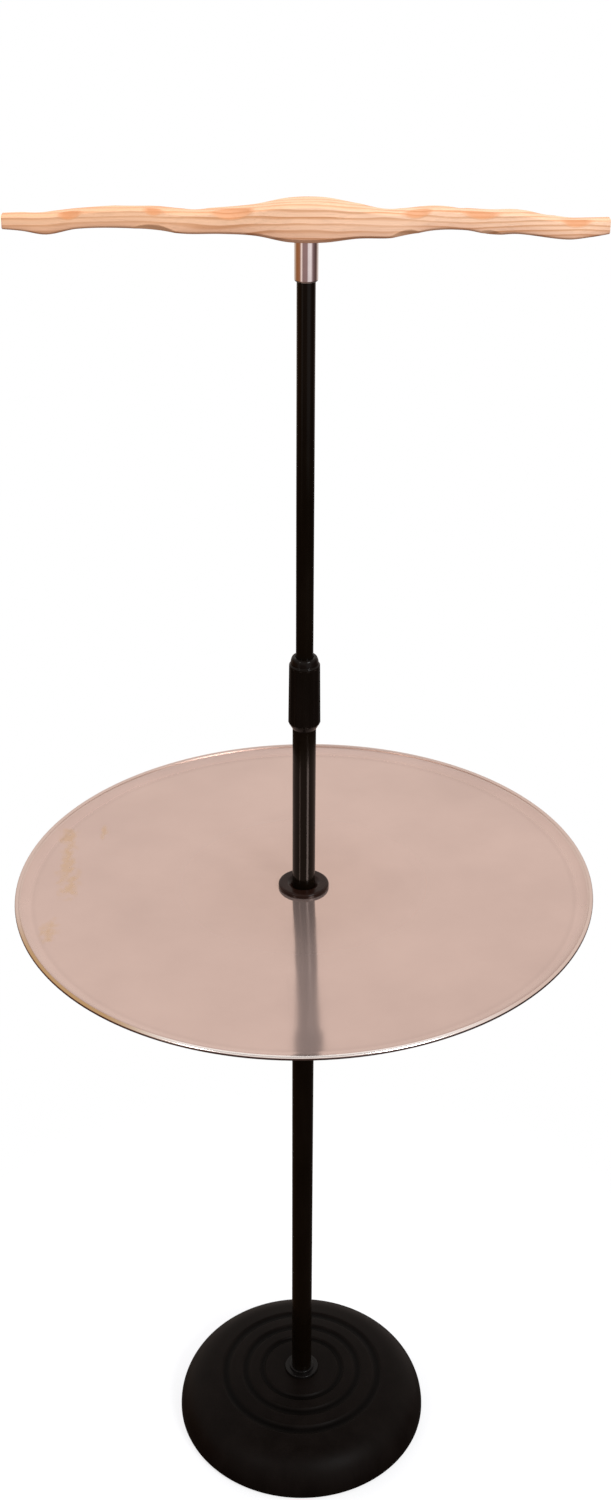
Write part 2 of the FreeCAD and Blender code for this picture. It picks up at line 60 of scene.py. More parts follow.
def makeCamera():
    camera = bpy.data.cameras.new("camera")
    camera.sensor_width = cameraSetup["sensor"]
    camera.lens = cameraSetup["focal"] * camera.sensor_width
    holder = bpy.data.objects.new("camera", camera)
    scene.collection.objects.link(holder)
    down = Matrix.Rotation(math.radians(90 - cameraSetup["tilt"]), 4, "X")
    roll = Matrix.Rotation(math.radians(cameraSetup["roll"]), 4, "Z")
    holder.matrix_world = Matrix.Translation(cameraSetup["place"]) @ down @ roll
    scene.camera = holder


def addNode(tree, kind, inputs=None, **settings):
    node = tree.nodes.new(kind)
    for key, value in settings.items():
        setattr(node, key, value)
    for key, value in (inputs or {}).items():
        socket = node.inputs[key]
        if isinstance(value, bpy.types.NodeSocket):
            tree.links.new(value, socket)
        else:
            socket.default_value = value
    return node


def mathNode(tree, operation, *values):
    inputs = dict(enumerate(values))
    return addNode(tree, "ShaderNodeMath", inputs, operation=operation).outputs[0]


def grey(value):
    return (value, value, value, 1)


def rgba(colour):
    # a colour written as three numbers gets its alpha; a socket stays as it is
    return (*colour, 1) if isinstance(colour, tuple) and len(colour) == 3 else colour


def rampNode(tree, factor, stops, mode="LINEAR"):
    node = addNode(tree, "ShaderNodeValToRGB", {"Fac": factor})
    ramp = node.color_ramp
    ramp.interpolation = mode
    while len(ramp.elements) < len(stops):
        ramp.elements.new(1.0)
    for element, (place, colour) in zip(ramp.elements, stops):
        element.position = place
        element.color = rgba(colour)
    return node.outputs["Color"]


def mixColour(tree, factor, first, second, blend="MIX"):
    return addNode(tree, "ShaderNodeMix", {"Factor": factor, "A": rgba(first), "B": rgba(second)},
                   data_type="RGBA", blend_type=blend).outputs["Result"]


def stepNode(tree, value, low, high):
    return addNode(tree, "ShaderNodeMapRange", {"Value": value, "From Min": low, "From Max": high},
                   interpolation_type="SMOOTHSTEP").outputs[0]


def bothNode(tree, first, firstFrom, second, secondFrom):
    return mathNode(tree, "MULTIPLY", stepNode(tree, first, *firstFrom), stepNode(tree, second, *secondFrom))


def lengthNode(tree, vector):
    return addNode(tree, "ShaderNodeVectorMath", {0: vector}, operation="LENGTH").outputs["Value"]


def partsNode(tree, vector):
    return addNode(tree, "ShaderNodeSeparateXYZ", {0: vector}).outputs


def rayKinds(tree):
    # 1 for camera rays, then 1 for any ray that looks straight, through something or off something
    path = tree.nodes.new("ShaderNodeLightPath")
    camera = path.outputs["Is Camera Ray"]
    looks = mathNode(tree, "MAXIMUM", camera, path.outputs["Is Transmission Ray"])
    return camera, mathNode(tree, "MAXIMUM", looks, path.outputs["Is Glossy Ray"])


surroundings = {
    "ambient": (0.93, 0.93, 1.0),
    "ambientLow": (0.27, 0.26, 0.26),
    "ambientFrom": (-0.7, 0.5),
    "ambientStrength": 0.81,
    "ceiling": (0.97, 0.89, 0.83),
    "zenith": (0.86, 0.82, 0.80),
    # what a polished surface sees round the horizon, from behind by the left, the front and the right
    "walls": (
        (0.000, (0.74, 0.62, 0.57)),
        (0.130, (0.70, 0.58, 0.50)),
        (0.172, (0.42, 0.24, 0.14)),
        (0.222, (0.33, 0.125, 0.045)),
        (0.317, (0.36, 0.15, 0.07)),
        (0.342, (0.50, 0.32, 0.25)),
        (0.361, (0.98, 0.76, 0.68)),
        (0.383, (0.95, 0.78, 0.72)),
        (0.405, (0.32, 0.20, 0.19)),
        (0.522, (0.33, 0.21, 0.20)),
        (0.556, (0.90, 0.80, 0.80)),
        (0.628, (0.98, 0.87, 0.87)),
        (0.667, (0.42, 0.31, 0.31)),
        (0.700, (0.20, 0.125, 0.125)),
        (0.778, (0.10, 0.055, 0.05)),
        (0.822, (0.24, 0.16, 0.14)),
        (0.870, (0.70, 0.60, 0.56)),
        (1.000, (0.74, 0.62, 0.57)),
    ),
    # what it sees below that, in the same order
    "ground": (
        (0.00, (0.22, 0.19, 0.175)), (0.14, (0.09, 0.06, 0.045)), (0.22, (0.09, 0.045, 0.025)),
        (0.78, (0.06, 0.04, 0.035)), (0.86, (0.08, 0.065, 0.06)), (1.00, (0.22, 0.19, 0.175)),
    ),
    # heights on the sphere where these tones meet
    "wallsFoot": (-0.36, -0.28),
    "wallsTop": (-0.02, 0.28),
    "zenithFrom": (0.68, 0.95),
    # high up and ahead it is darker
    "overFront": (0.30, 0.26, 0.24),
    "overFrontFrom": (0.74, 0.88),
    "overFrontAhead": (-0.02, -0.25),
}


def makeWorld():
    around = surroundings
    world = bpy.data.worlds.new("surroundings")
    world.use_nodes = True
    scene.world = world
    tree = world.node_tree
    tree.nodes.clear()
    toCamera, looking = rayKinds(tree)
    way = addNode(tree, "ShaderNodeTexCoord").outputs["Generated"]
    x, y, z = partsNode(tree, way)
    turn = mathNode(tree, "ARCTAN2", x, mathNode(tree, "MULTIPLY", y, -1.0))
    turn = mathNode(tree, "MULTIPLY_ADD", turn, 1 / (2 * math.pi), 0.5)
    walls = rampNode(tree, turn, around["walls"], "EASE")
    ground = rampNode(tree, turn, around["ground"], "EASE")
    seen = mixColour(tree, stepNode(tree, z, *around["wallsFoot"]), ground, walls)
    seen = mixColour(tree, stepNode(tree, z, *around["wallsTop"]), seen, around["ceiling"])
    seen = mixColour(tree, stepNode(tree, z, *around["zenithFrom"]), seen, around["zenith"])
    overFront = bothNode(tree, z, around["overFrontFrom"], y, around["overFrontAhead"])
    seen = mixColour(tree, overFront, seen, around["overFront"])
    white = mixColour(tree, toCamera, seen, grey(1))
    soft = mixColour(tree, stepNode(tree, z, *around["ambientFrom"]), around["ambientLow"], around["ambient"])
    ambient = addNode(tree, "ShaderNodeBackground", {"Color": soft, "Strength": around["ambientStrength"]})
    shown = addNode(tree, "ShaderNodeBackground", {"Color": white, "Strength": 1.0})
    both = addNode(tree, "ShaderNodeMixShader",
                   {"Fac": looking, 1: ambient.outputs[0], 2: shown.outputs[0]})
    addNode(tree, "ShaderNodeOutputWorld", {"Surface": both.outputs[0]})


softBoxes = {
    # turn from the camera's side, distance, middle height, width and height, power
    "left": {"turn": -42, "away": 3.3, "height": 2.8, "size": (0.45, 1.2), "watts": 17,
             "colour": (1.0, 0.95, 0.90)},
    "right": {"turn": 37, "away": 3.3, "height": 2.8, "size": (1.1, 1.2), "watts": 76,
              "colour": (0.96, 0.98, 1.0)},
    "top": {"turn": 215, "away": 0.8, "height": 3.6, "size": (2.6, 2.6), "watts": 42,
            "colour": (1.0, 0.98, 0.96)},
}
lightAim = (0, 0, 0.8)


def makeLights():
    for name, box in softBoxes.items():
        light = bpy.data.lights.new("softBox_" + name, "AREA")
        light.shape = "RECTANGLE"
        light.size, light.size_y = box["size"]
        light.energy = box["watts"]
        light.color = box["colour"]
        holder = bpy.data.objects.new("softBox_" + name, light)
        scene.collection.objects.link(holder)
        around = math.radians(box["turn"])
        place = Vector((box["away"] * math.sin(around), -box["away"] * math.cos(around), box["height"]))
        turn = (Vector(lightAim) - place).to_track_quat("-Z", "Y")
        holder.matrix_world = Matrix.Translation(place) @ turn.to_matrix().to_4x4()
        holder.visible_glossy = name != "top"


floorSetup = {"radius": 0.60, "fadeFrom": 0.18, "paint": 0.32, "glow": 0.72, "segments": 96}


def makeFloor():
    bm = bmesh.new()
    bmesh.ops.create_circle(bm, cap_ends=True, segments=floorSetup["segments"],
                            radius=floorSetup["radius"])
    mesh = bpy.data.meshes.new("floor")
    bm.to_mesh(mesh)
    bm.free()
    floor = bpy.data.objects.new("floor", mesh)
    scene.collection.objects.link(floor)
    material = bpy.data.materials.new("floorPaint")
    material.use_nodes = True
    tree = material.node_tree
    tree.nodes.clear()
    _, looking = rayKinds(tree)
    away = lengthNode(tree, addNode(tree, "ShaderNodeTexCoord").outputs["Object"])
    fade = stepNode(tree, away, floorSetup["fadeFrom"], floorSetup["radius"])
    paint = addNode(tree, "ShaderNodeBsdfDiffuse", {"Color": grey(floorSetup["paint"])})
    strength = mathNode(tree, "MULTIPLY", looking, floorSetup["glow"])
    glow = addNode(tree, "ShaderNodeEmission", {"Color": grey(1), "Strength": strength})
    lit = addNode(tree, "ShaderNodeAddShader", {0: paint.outputs[0], 1: glow.outputs[0]})
    clear = addNode(tree, "ShaderNodeBsdfTransparent")
    edge = addNode(tree, "ShaderNodeMixShader", {"Fac": fade, 1: lit.outputs[0], 2: clear.outputs[0]})
    addNode(tree, "ShaderNodeOutputMaterial", {"Surface": edge.outputs[0]})
    mesh.materials.append(material)
    floor.visible_glossy = False


makeCamera()
makeWorld()
makeLights()
makeFloor()
print("camera, light and floor are set")


# finishes

def newFinish(name, colour, roughness, metallic=0.0, specular=0.5):
    material = bpy.data.materials.new(name)
    material.use_nodes = True
    tree = material.node_tree
    shader = tree.nodes["Principled BSDF"]
    shader.inputs["Base Color"].default_value = (*colour, 1)
    shader.inputs["Roughness"].default_value = roughness
    shader.inputs["Metallic"].default_value = metallic
    shader.inputs["Specular IOR Level"].default_value = specular
    return material, tree, shader


def objectPlace(tree, scale=(1, 1, 1), location=(0, 0, 0)):
    place = addNode(tree, "ShaderNodeTexCoord").outputs["Object"]
    return addNode(tree, "ShaderNodeMapping",
                   {"Vector": place, "Scale": scale, "Location": location}).outputs[0]


def noiseNode(tree, place, scale, detail=3.0, roughness=0.5, distortion=0.0):
    return addNode(tree, "ShaderNodeTexNoise", {
        "Vector": place, "Scale": scale, "Detail": detail, "Roughness": roughness, "Distortion": distortion,
    }).outputs["Fac"]


def rangeNode(tree, value, fromLow, fromHigh, toLow, toHigh):
    return addNode(tree, "ShaderNodeMapRange", {
        "Value": value, "From Min": fromLow, "From Max": fromHigh, "To Min": toLow, "To Max": toHigh,
    }).outputs[0]


def bumpNode(tree, height, distance, strength=1.0, normal=None):
    inputs = {"Height": height, "Distance": distance, "Strength": strength}
    if normal is not None:
        inputs["Normal"] = normal
    return addNode(tree, "ShaderNodeBump", inputs).outputs[0]


pineLook = {
    "early": (0.92, 0.55, 0.332),
    "pale": (0.97, 0.63, 0.42),    # early wood towards the right
    "late": (0.64, 0.295, 0.13),
    "ringGap": 0.0042,
    "heart": (-0.069, -0.132),     # the log's heart from the bar's middle, in y and z
    "sway": (0, 0.008, 0.013),     # how far the rings wander
    "paleFrom": (-0.2, 0.12),
    # end-grain tone and painted shade in the scoops
    "scoopGrainAndShade": (0.60, 0.250, 0.095),
    "undersideShade": (0.86, 0.78, 0.72),
    "lowEdgeShade": (0.74, 0.67, 0.66),
    "topsideShade": (0.90, 0.83, 0.79),
    "undersideShadeFrom": (-0.1, -0.8),
    "topsideShadeFrom": (0.3, 0.85),
}


def pineFinish():
    look = pineLook
    material, tree, shader = newFinish("pine", look["early"], 0.6, specular=0.3)
    low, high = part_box("perch")
    heart = (0, -look["heart"][0], -look["heart"][1] - (low.z + high.z) / 2)
    sway = noiseNode(tree, objectPlace(tree, (7, 30, 30)), 1.0, 2.0)
    swayed = addNode(tree, "ShaderNodeVectorMath", {0: sway, 1: look["sway"]}, operation="MULTIPLY")
    logPlace = addNode(tree, "ShaderNodeVectorMath",
                       {0: objectPlace(tree, location=heart), 1: swayed.outputs[0]}, operation="ADD").outputs[0]
    rings = addNode(tree, "ShaderNodeTexWave", {
        "Vector": logPlace, "Scale": math.pi / 10 / look["ringGap"], "Distortion": 0.0,
    }, wave_type="RINGS", rings_direction="X", wave_profile="SAW").outputs["Fac"]
    along = partsNode(tree, objectPlace(tree))[0]
    early = mixColour(tree, stepNode(tree, along, *look["paleFrom"]), look["early"], look["pale"])
    lateShare = rampNode(tree, rings, (
        (0.0, grey(0)), (0.42, grey(0.12)), (0.80, grey(0.9)), (0.90, grey(1)), (1.0, grey(0)),
    ), "EASE")
    patchy = noiseNode(tree, objectPlace(tree, (9, 90, 90)), 1.0, 3.0)
    lateShare = mathNode(tree, "MULTIPLY", lateShare, rangeNode(tree, patchy, 0.3, 0.7, 1.0, 0.45))
    colour = mixColour(tree, lateShare, early, look["late"])
    fibres = noiseNode(tree, objectPlace(tree, (14, 1300, 1300)), 1.0, 3.0, 0.6)
    tone = rampNode(tree, fibres, ((0.25, grey(0.88)), (0.6, grey(1.02))))
    colour = mixColour(tree, 1.0, colour, tone, "MULTIPLY")
    flecks = noiseNode(tree, objectPlace(tree, (160, 1500, 1500)), 1.0, 2.0)
    fleckTone = rampNode(tree, flecks, ((0.24, (0.74, 0.62, 0.52)), (0.34, grey(1.0))))
    colour = mixColour(tree, 0.5, colour, fleckTone, "MULTIPLY")
    # the scoops show end grain and are darker: partly the end grain's own tone, partly painted shade where the
    # scoops catch less light
    scoopGrainAndShade = addNode(tree, "ShaderNodeAttribute", attribute_name="scoopGrainAndShade").outputs["Fac"]
    uneven = rangeNode(tree, patchy, 0.3, 0.7, 0.45, 0.85)
    colour = mixColour(tree, mathNode(tree, "MULTIPLY", scoopGrainAndShade, uneven), colour, look["scoopGrainAndShade"])
    # painted shade: darker on the lower edges, and a little on the faces turned down and up
    lowEdgeShade = addNode(tree, "ShaderNodeAttribute", attribute_name="lowEdgeShade").outputs["Fac"]
    colour = mixColour(tree, lowEdgeShade, colour, look["lowEdgeShade"], "MULTIPLY")
    # painted shade on the faces turned down, and a little on those turned up
    up = partsNode(tree, addNode(tree, "ShaderNodeTexCoord").outputs["Normal"])[2]
    colour = mixColour(tree, stepNode(tree, up, *look["undersideShadeFrom"]), colour, look["undersideShade"], "MULTIPLY")
    colour = mixColour(tree, stepNode(tree, up, *look["topsideShadeFrom"]), colour, look["topsideShade"], "MULTIPLY")
    tree.links.new(colour, shader.inputs["Base Color"])
    tree.links.new(rangeNode(tree, rings, 0.0, 0.9, 0.66, 0.5), shader.inputs["Roughness"])
    relief = bumpNode(tree, fibres, 0.00012, 0.6)
    tree.links.new(bumpNode(tree, rings, 0.0001, 0.5, relief), shader.inputs["Normal"])
    return material


trayLook = {
    # the sheet's colours are tinted pinkish beige: partly the metal's own colour, partly a painted reflection
    # of a warm room
    "sheet": (0.580, 0.431, 0.377),
    "dull": (0.530, 0.392, 0.343),
    "stain": (0.55, 0.375, 0.245),
    # faint dried marks near the left rim: x, y and half sizes
    "stains": (
        (-0.236, 0.045, 0.010, 0.062), (-0.228, 0.004, 0.010, 0.034), (-0.240, 0.094, 0.012, 0.022),
        (-0.240, -0.075, 0.010, 0.024), (-0.205, 0.106, 0.005, 0.018),
    ),
    "turnLines": 0.0011,
    "bendFrom": (0.255, 0.275),
    "edge": (0.66, 0.53, 0.48),
    "edgeFrom": (0.2738, 0.2752),
    "highlightEdge": (0.95, 0.90, 0.88),      # painted highlight on the edge, at the front
    "highlightEdgeFrom": (-0.19, -0.262),
    "warmReflection": (0.50, 0.33, 0.17),        # painted golden reflection on the edge, at the left of the front
    "warmReflectionFrom": ((-0.10, -0.18), (-0.04, -0.13)),
    "under": (0.30, 0.23, 0.21),       # painted shade on the edge's lower side, at the front
    "underShadeFrom": ((0.58, 0.36), (0.06, -0.06)),
    "dulledFrom": ((0.258, 0.268), (-0.15, 0.0)),    # the rim at the back is less polished
    "metal": (0.82, 0.70, 0.97),       # how metallic the sheet looks by the hub, further out and on the edge
}


def trayFinish():
    look = trayLook
    material, tree, shader = newFinish("traySheet", look["sheet"], 0.1, 0.76)
    cloud = noiseNode(tree, objectPlace(tree, (9, 9, 9)), 1.0, 4.0, 0.55)
    colour = mixColour(tree, rangeNode(tree, cloud, 0.35, 0.7, 0.0, 1.0), look["sheet"], look["dull"])
    patchy = noiseNode(tree, objectPlace(tree, (120, 80, 0)), 1.0, 4.0)
    stain = 0.0
    for x, y, halfX, halfY in look["stains"]:
        mark = objectPlace(tree, (1 / halfX, 1 / halfY, 0), (-x / halfX, -y / halfY, 0))
        reach = mathNode(tree, "MULTIPLY_ADD", patchy, 2.4, lengthNode(tree, mark))
        stain = mathNode(tree, "MAXIMUM", stain, rangeNode(tree, reach, 1.3, 2.1, 0.8, 0.0))
    colour = mixColour(tree, stain, colour, look["stain"])
    flat = objectPlace(tree, (1, 1, 0))
    away = lengthNode(tree, flat)
    # painted reflection: a darker line where the rim bends up and a lighter band outside it
    bent = rampNode(tree, rangeNode(tree, away, *look["bendFrom"], 0.0, 1.0), (
        (0.15, grey(1.0)), (0.36, grey(0.955)), (0.52, grey(1.03)), (0.9, grey(1.02)),
    ), "EASE")
    colour = mixColour(tree, 1.0, colour, bent, "MULTIPLY")
    # the rolled edge gets a painted highlight at the front, a painted golden reflection at its left and painted
    # shade on its lower side
    edge = stepNode(tree, away, *look["edgeFrom"])
    x, y, _ = partsNode(tree, flat)
    warmX, warmY = look["warmReflectionFrom"]
    underUp, underY = look["underShadeFrom"]
    up = partsNode(tree, addNode(tree, "ShaderNodeTexCoord").outputs["Normal"])[2]
    edgeWithPaintedLight = mixColour(tree, stepNode(tree, y, *look["highlightEdgeFrom"]), look["edge"], look["highlightEdge"])
    edgeWithPaintedLight = mixColour(tree, bothNode(tree, x, warmX, y, warmY), edgeWithPaintedLight, look["warmReflection"])
    edgeWithPaintedLight = mixColour(tree, bothNode(tree, up, underUp, y, underY), edgeWithPaintedLight, look["under"])
    colour = mixColour(tree, edge, colour, edgeWithPaintedLight)
    tree.links.new(colour, shader.inputs["Base Color"])
    lines = addNode(tree, "ShaderNodeTexWave", {
        "Vector": objectPlace(tree), "Scale": math.pi / 10 / look["turnLines"],
        "Distortion": 1.2, "Detail": 2.0,
    }, wave_type="RINGS", rings_direction="Z").outputs["Fac"]
    scratches = noiseNode(tree, objectPlace(tree, (260, 9, 40)), 1.0, 4.0, 0.65, 0.8)
    rub = rangeNode(tree, scratches, 0.58, 0.70, 0.0, 0.07)
    smear = rangeNode(tree, cloud, 0.3, 0.75, 0.05, 0.11)
    rough = mathNode(tree, "ADD", smear, rub)
    rough = mathNode(tree, "ADD", rough, mathNode(tree, "MULTIPLY", stain, 0.3))
    rough = mathNode(tree, "MULTIPLY_ADD", edge, 0.05, rough)
    dulledOut, dulledY = look["dulledFrom"]
    rough = mathNode(tree, "MULTIPLY_ADD", bothNode(tree, away, dulledOut, y, dulledY), 0.2, rough)
    rough = mathNode(tree, "MULTIPLY_ADD", stepNode(tree, away, 0.05, 0.26), 0.03, rough)
    near, far, edgeMetal = look["metal"]
    metal = mathNode(tree, "MULTIPLY_ADD", stepNode(tree, away, 0.02, 0.15), far - near, near)
    tree.links.new(mathNode(tree, "MULTIPLY_ADD", edge, edgeMetal - far, metal), shader.inputs["Metallic"])
    tree.links.new(rough, shader.inputs["Roughness"])
    uneven = bumpNode(tree, noiseNode(tree, objectPlace(tree), 16.0, 1.0), 0.0005, 0.5)
    tree.links.new(bumpNode(tree, lines, 0.000004, 0.5, uneven), shader.inputs["Normal"])
    return material


def paintFinish(name, colour, roughness, specular, grain=700.0, grainDepth=0.00003, wear=0.0, grooves=()):
    # black paint or moulded plastic: fine grain in the surface, cloudy gloss, long faint rubs and painted shade
    # in any grooves given
    material, tree, shader = newFinish(name, colour, roughness, specular=specular)
    cloud = noiseNode(tree, objectPlace(tree, (40, 40, 12)), 1.0, 4.0, 0.6)
    pale = tuple(1.5 * c + 0.0004 for c in colour)
    tone = mixColour(tree, rangeNode(tree, cloud, 0.4, 0.75, 0.0, 1.0), colour, pale)
    rubs = noiseNode(tree, objectPlace(tree, (900, 900, 14)), 1.0, 3.0, 0.6)
    rubbed = rangeNode(tree, rubs, 0.62, 0.78, 0.0, wear)
    tone = mixColour(tree, rubbed, tone, (0.06, 0.055, 0.052))
    for middle, width in grooves:    # painted shade darkens the grooves
        away = lengthNode(tree, objectPlace(tree, (1, 1, 0)))
        off = mathNode(tree, "ABSOLUTE", mathNode(tree, "SUBTRACT", away, middle))
        tone = mixColour(tree, stepNode(tree, off, width / 2, width / 8), tone, grey(0.3), "MULTIPLY")
    tree.links.new(tone, shader.inputs["Base Color"])
    gloss = rangeNode(tree, cloud, 0.3, 0.75, roughness - 0.06, roughness + 0.08)
    tree.links.new(gloss, shader.inputs["Roughness"])
    pebbles = noiseNode(tree, objectPlace(tree), grain, 2.0)
    tree.links.new(bumpNode(tree, pebbles, grainDepth, 0.6), shader.inputs["Normal"])
    return material


def steelFinish(name, colour, roughness, lineGap):
    # turned or plated steel: fine lines round the axis and a cloudy polish
    material, tree, shader = newFinish(name, colour, roughness, 1.0)
    lines = noiseNode(tree, objectPlace(tree, (4, 4, 1 / lineGap)), 1.0, 3.0, 0.6)
    cloud = noiseNode(tree, objectPlace(tree, (70, 70, 70)), 1.0, 3.0)
    dark = tuple(0.9 * c for c in colour)
    tone = mixColour(tree, rangeNode(tree, cloud, 0.3, 0.7, 0.0, 1.0), colour, dark)
    tree.links.new(tone, shader.inputs["Base Color"])
    polish = mathNode(tree, "ADD", rangeNode(tree, lines, 0.3, 0.7, -0.03, 0.04),
                      rangeNode(tree, cloud, 0.3, 0.7, roughness - 0.02, roughness + 0.04))
    tree.links.new(polish, shader.inputs["Roughness"])
    tree.links.new(bumpNode(tree, lines, 0.000008, 0.5), shader.inputs["Normal"])
    return material


def mouldedFinish(name, colour, roughness, grain, depth):
    # pale plastic, cast weight and rubber: mottled, matt, with a coarse or fine skin
    material, tree, shader = newFinish(name, colour, roughness, specular=0.4)
    cloud = noiseNode(tree, objectPlace(tree, (30, 30, 30)), 1.0, 5.0, 0.6)
    dark = tuple(0.78 * c for c in colour)
    tone = mixColour(tree, rangeNode(tree, cloud, 0.3, 0.7, 0.0, 1.0), colour, dark)
    tree.links.new(tone, shader.inputs["Base Color"])
    gloss = rangeNode(tree, cloud, 0.3, 0.7, roughness - 0.07, roughness + 0.07)
    tree.links.new(gloss, shader.inputs["Roughness"])
    skin = noiseNode(tree, objectPlace(tree), grain, 4.0)
    tree.links.new(bumpNode(tree, skin, depth, 0.7), shader.inputs["Normal"])
    return material


pine = pineFinish()
traySheet = trayFinish()
# colour, roughness, specular, grain, its depth and the wear
tubePaint = paintFinish("tubePaint", (0.0032, 0.0018, 0.0008), 0.14, 0.14, 500.0, 0.00001, 0.02)
gripPlastic = paintFinish("gripPlastic", (0.0042, 0.0027, 0.0019), 0.16, 0.10, 900.0, 0.00001, 0.02)
flangePlastic = paintFinish("flangePlastic", (0.0120, 0.0045, 0.0028), 0.24, 0.12, 900.0, 0.00001, 0.03)
footPaint = paintFinish("footPaint", (0.0040, 0.0033, 0.0030), 0.28, 0.14, 800.0, 0.00001, 0.03)
collarPaint = paintFinish("collarPaint", (0.010, 0.0095, 0.009), 0.45, 0.4, 700.0, 0.00002, 0.1)
platePaint = paintFinish("platePaint", (0.010, 0.010, 0.010), 0.6, 0.3, 500.0, 0.00004, 0.1)
# colour, roughness, grain and its depth
rubber = mouldedFinish("rubber", (0.012, 0.012, 0.012), 0.75, 900.0, 0.00006)
nylon = mouldedFinish("nylon", (0.85, 0.83, 0.76), 0.45, 700.0, 0.00003)
concrete = mouldedFinish("concrete", (0.45, 0.44, 0.42), 0.85, 240.0, 0.0004)
# colour, roughness and the gap of the fine lines
stainless = steelFinish("stainless", (0.82, 0.785, 0.775), 0.09, 0.0005)
zinc = steelFinish("zinc", (0.62, 0.62, 0.60), 0.32, 0.0008)
print("finishes are mixed:", len(bpy.data.materials))


# modelling helpers: a section is drawn with a pen in the XZ plane and turned about the column

def lineTo(bm, vert, r, z):
    following = bmesh.ops.extrude_vert_indiv(bm, verts=[vert])["verts"][0]
    following.co = (r, 0, z)
    return following


def arcTo(bm, vert, r, z, degrees, steps):
    swung = bmesh.ops.spin(bm, geom=[vert], cent=(r, 0, z), axis=(0, -1, 0), dvec=(0, 0, 0),
                           angle=math.radians(degrees), steps=steps, use_merge=False, use_duplicate=False)
    return [g for g in swung["geom_last"] if isinstance(g, bmesh.types.BMVert)][0]


def drawSection(bm, start, moves, closed=True):
    # a move of two numbers is a line to (r, z); one of four is an arc: centre r, z, degrees, steps
    first = vert = bmesh.ops.create_vert(bm, co=(start[0], 0, start[1]))["vert"][0]
    for move in moves:
        vert = lineTo(bm, vert, *move) if len(move) == 2 else arcTo(bm, vert, *move)
    if closed:
        bm.edges.new((vert, first))
    return vert


def turnSection(bm, steps=96):
    bmesh.ops.spin(bm, geom=bm.verts[:] + bm.edges[:], cent=(0, 0, 0), axis=(0, 0, 1), dvec=(0, 0, 0),
                   angle=2 * math.pi, steps=steps, use_merge=True, use_duplicate=False)
    tidyMesh(bm)


def turnRing(inner, outer, low, high, steps=96):
    bm = bmesh.new()
    drawSection(bm, (inner, low), ((outer, low), (outer, high), (inner, high)))
    turnSection(bm, steps)
    return bm


def tidyMesh(bm):
    bmesh.ops.remove_doubles(bm, verts=bm.verts[:], dist=1e-6)
    bmesh.ops.recalc_face_normals(bm, faces=bm.faces[:])


def hardEdges(bm, degrees):
    return [e for e in bm.edges if e.is_manifold and e.calc_face_angle(0) > math.radians(degrees)]


def roundEdges(bm, edges, width, segments=2):
    bmesh.ops.bevel(bm, geom=edges, offset=width, offset_type="OFFSET", affect="EDGES", segments=segments,
                    profile=0.5, material=-1, clamp_overlap=True)


def softenEdges(bm, width, degrees=32, segments=2):
    roundEdges(bm, hardEdges(bm, degrees), width, segments)


def addPiece(name, bm, material, body, slot, *nodes, sharp=38):
    mesh = bpy.data.meshes.new(name)
    bm.to_mesh(mesh)
    bm.free()
    mesh.polygons.foreach_set("use_smooth", [True] * len(mesh.polygons))
    mesh.set_sharp_from_angle(angle=math.radians(sharp))
    mesh.materials.append(material)
    piece = bpy.data.objects.new(name, mesh)
    scene.collection.objects.link(piece)
    # broad faces keep their own direction beside rounded edges
    normals = piece.modifiers.new("normals", "WEIGHTED_NORMAL")
    normals.keep_sharp = True
    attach(piece, body)
    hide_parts(*nodes)


def smoothStep(value, low, high):
    share = min(1.0, max(0.0, (value - low) / (high - low)))
    return share * share * (3 - 2 * share)


# the weighted base

baseShell = {
    "wall": 0.004,
    "lowerRound": 0.0025,
    "straightSide": 0.001,
    "crownSlope": 12.0,
    "seat": 0.022,
    "rodHole": 0.0065,
    "grooves": ((0.086, 0.011), (0.0635, 0.010), (0.0445, 0.0075)),   # radius and full width
    "grooveDepth": 0.0022,
    "grooveLip": 0.0004,
    "steps": 160,
}
# the grooves get painted shade
basePlastic = paintFinish("basePlastic", (0.0038, 0.0025, 0.0019), 0.44, 0.042, 620.0, 0.00004,
                          grooves=baseShell["grooves"])


def makeBaseShell():
    low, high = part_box("base_shell")
    radius, bottom, top = high.x, low.z, high.z
    wall, lowerRound, seat = baseShell["wall"], baseShell["lowerRound"], baseShell["seat"]
    slope = math.radians(baseShell["crownSlope"])
    sideTop = bottom + lowerRound + baseShell["straightSide"]
    share = math.tan(slope / 2)
    shoulder = (top - sideTop - share * (radius - seat)) / (math.cos(slope) - share * (1 - math.sin(slope)))
    crown = (radius - shoulder + shoulder * math.sin(slope) - seat) / math.sin(slope)
    toCrown = 90 - baseShell["crownSlope"]
    bm = bmesh.new()
    end = drawSection(bm, (radius - wall, bottom), (
        (radius - lowerRound, bottom),
        (radius - lowerRound, bottom + lowerRound, 90, 6),
        (radius, sideTop),
        (radius - shoulder, sideTop, toCrown, 28),
        (seat, top - crown, baseShell["crownSlope"], 200),
        (baseShell["rodHole"], top),
    ), closed=False)
    deep, lip = baseShell["grooveDepth"], baseShell["grooveLip"]
    for vert in bm.verts:
        for middle, width in baseShell["grooves"]:
            curve = (width**2 / 4 + deep**2) / (2 * deep)
            away = vert.co.x - middle
            if abs(away) < min(width, curve) and vert.co.z > top / 2:
                sunk = deep - curve + math.sqrt(curve**2 - away**2)
                vert.co.z -= (sunk + math.hypot(sunk, lip)) / 2
    for move in ((baseShell["rodHole"], top - wall), (seat, top - wall)):
        end = lineTo(bm, end, *move)
    end = arcTo(bm, end, seat, top - crown, -baseShell["crownSlope"], 10)
    arcTo(bm, end, radius - shoulder, sideTop, -toCrown, 16)
    bmesh.ops.remove_doubles(bm, verts=bm.verts[:], dist=1e-6)
    bm.edges.new([v for v in bm.verts if len(v.link_edges) == 1])
    turnSection(bm, baseShell["steps"])
    addPiece("baseShell", bm, basePlastic, "stand", "base_black", "base_shell")


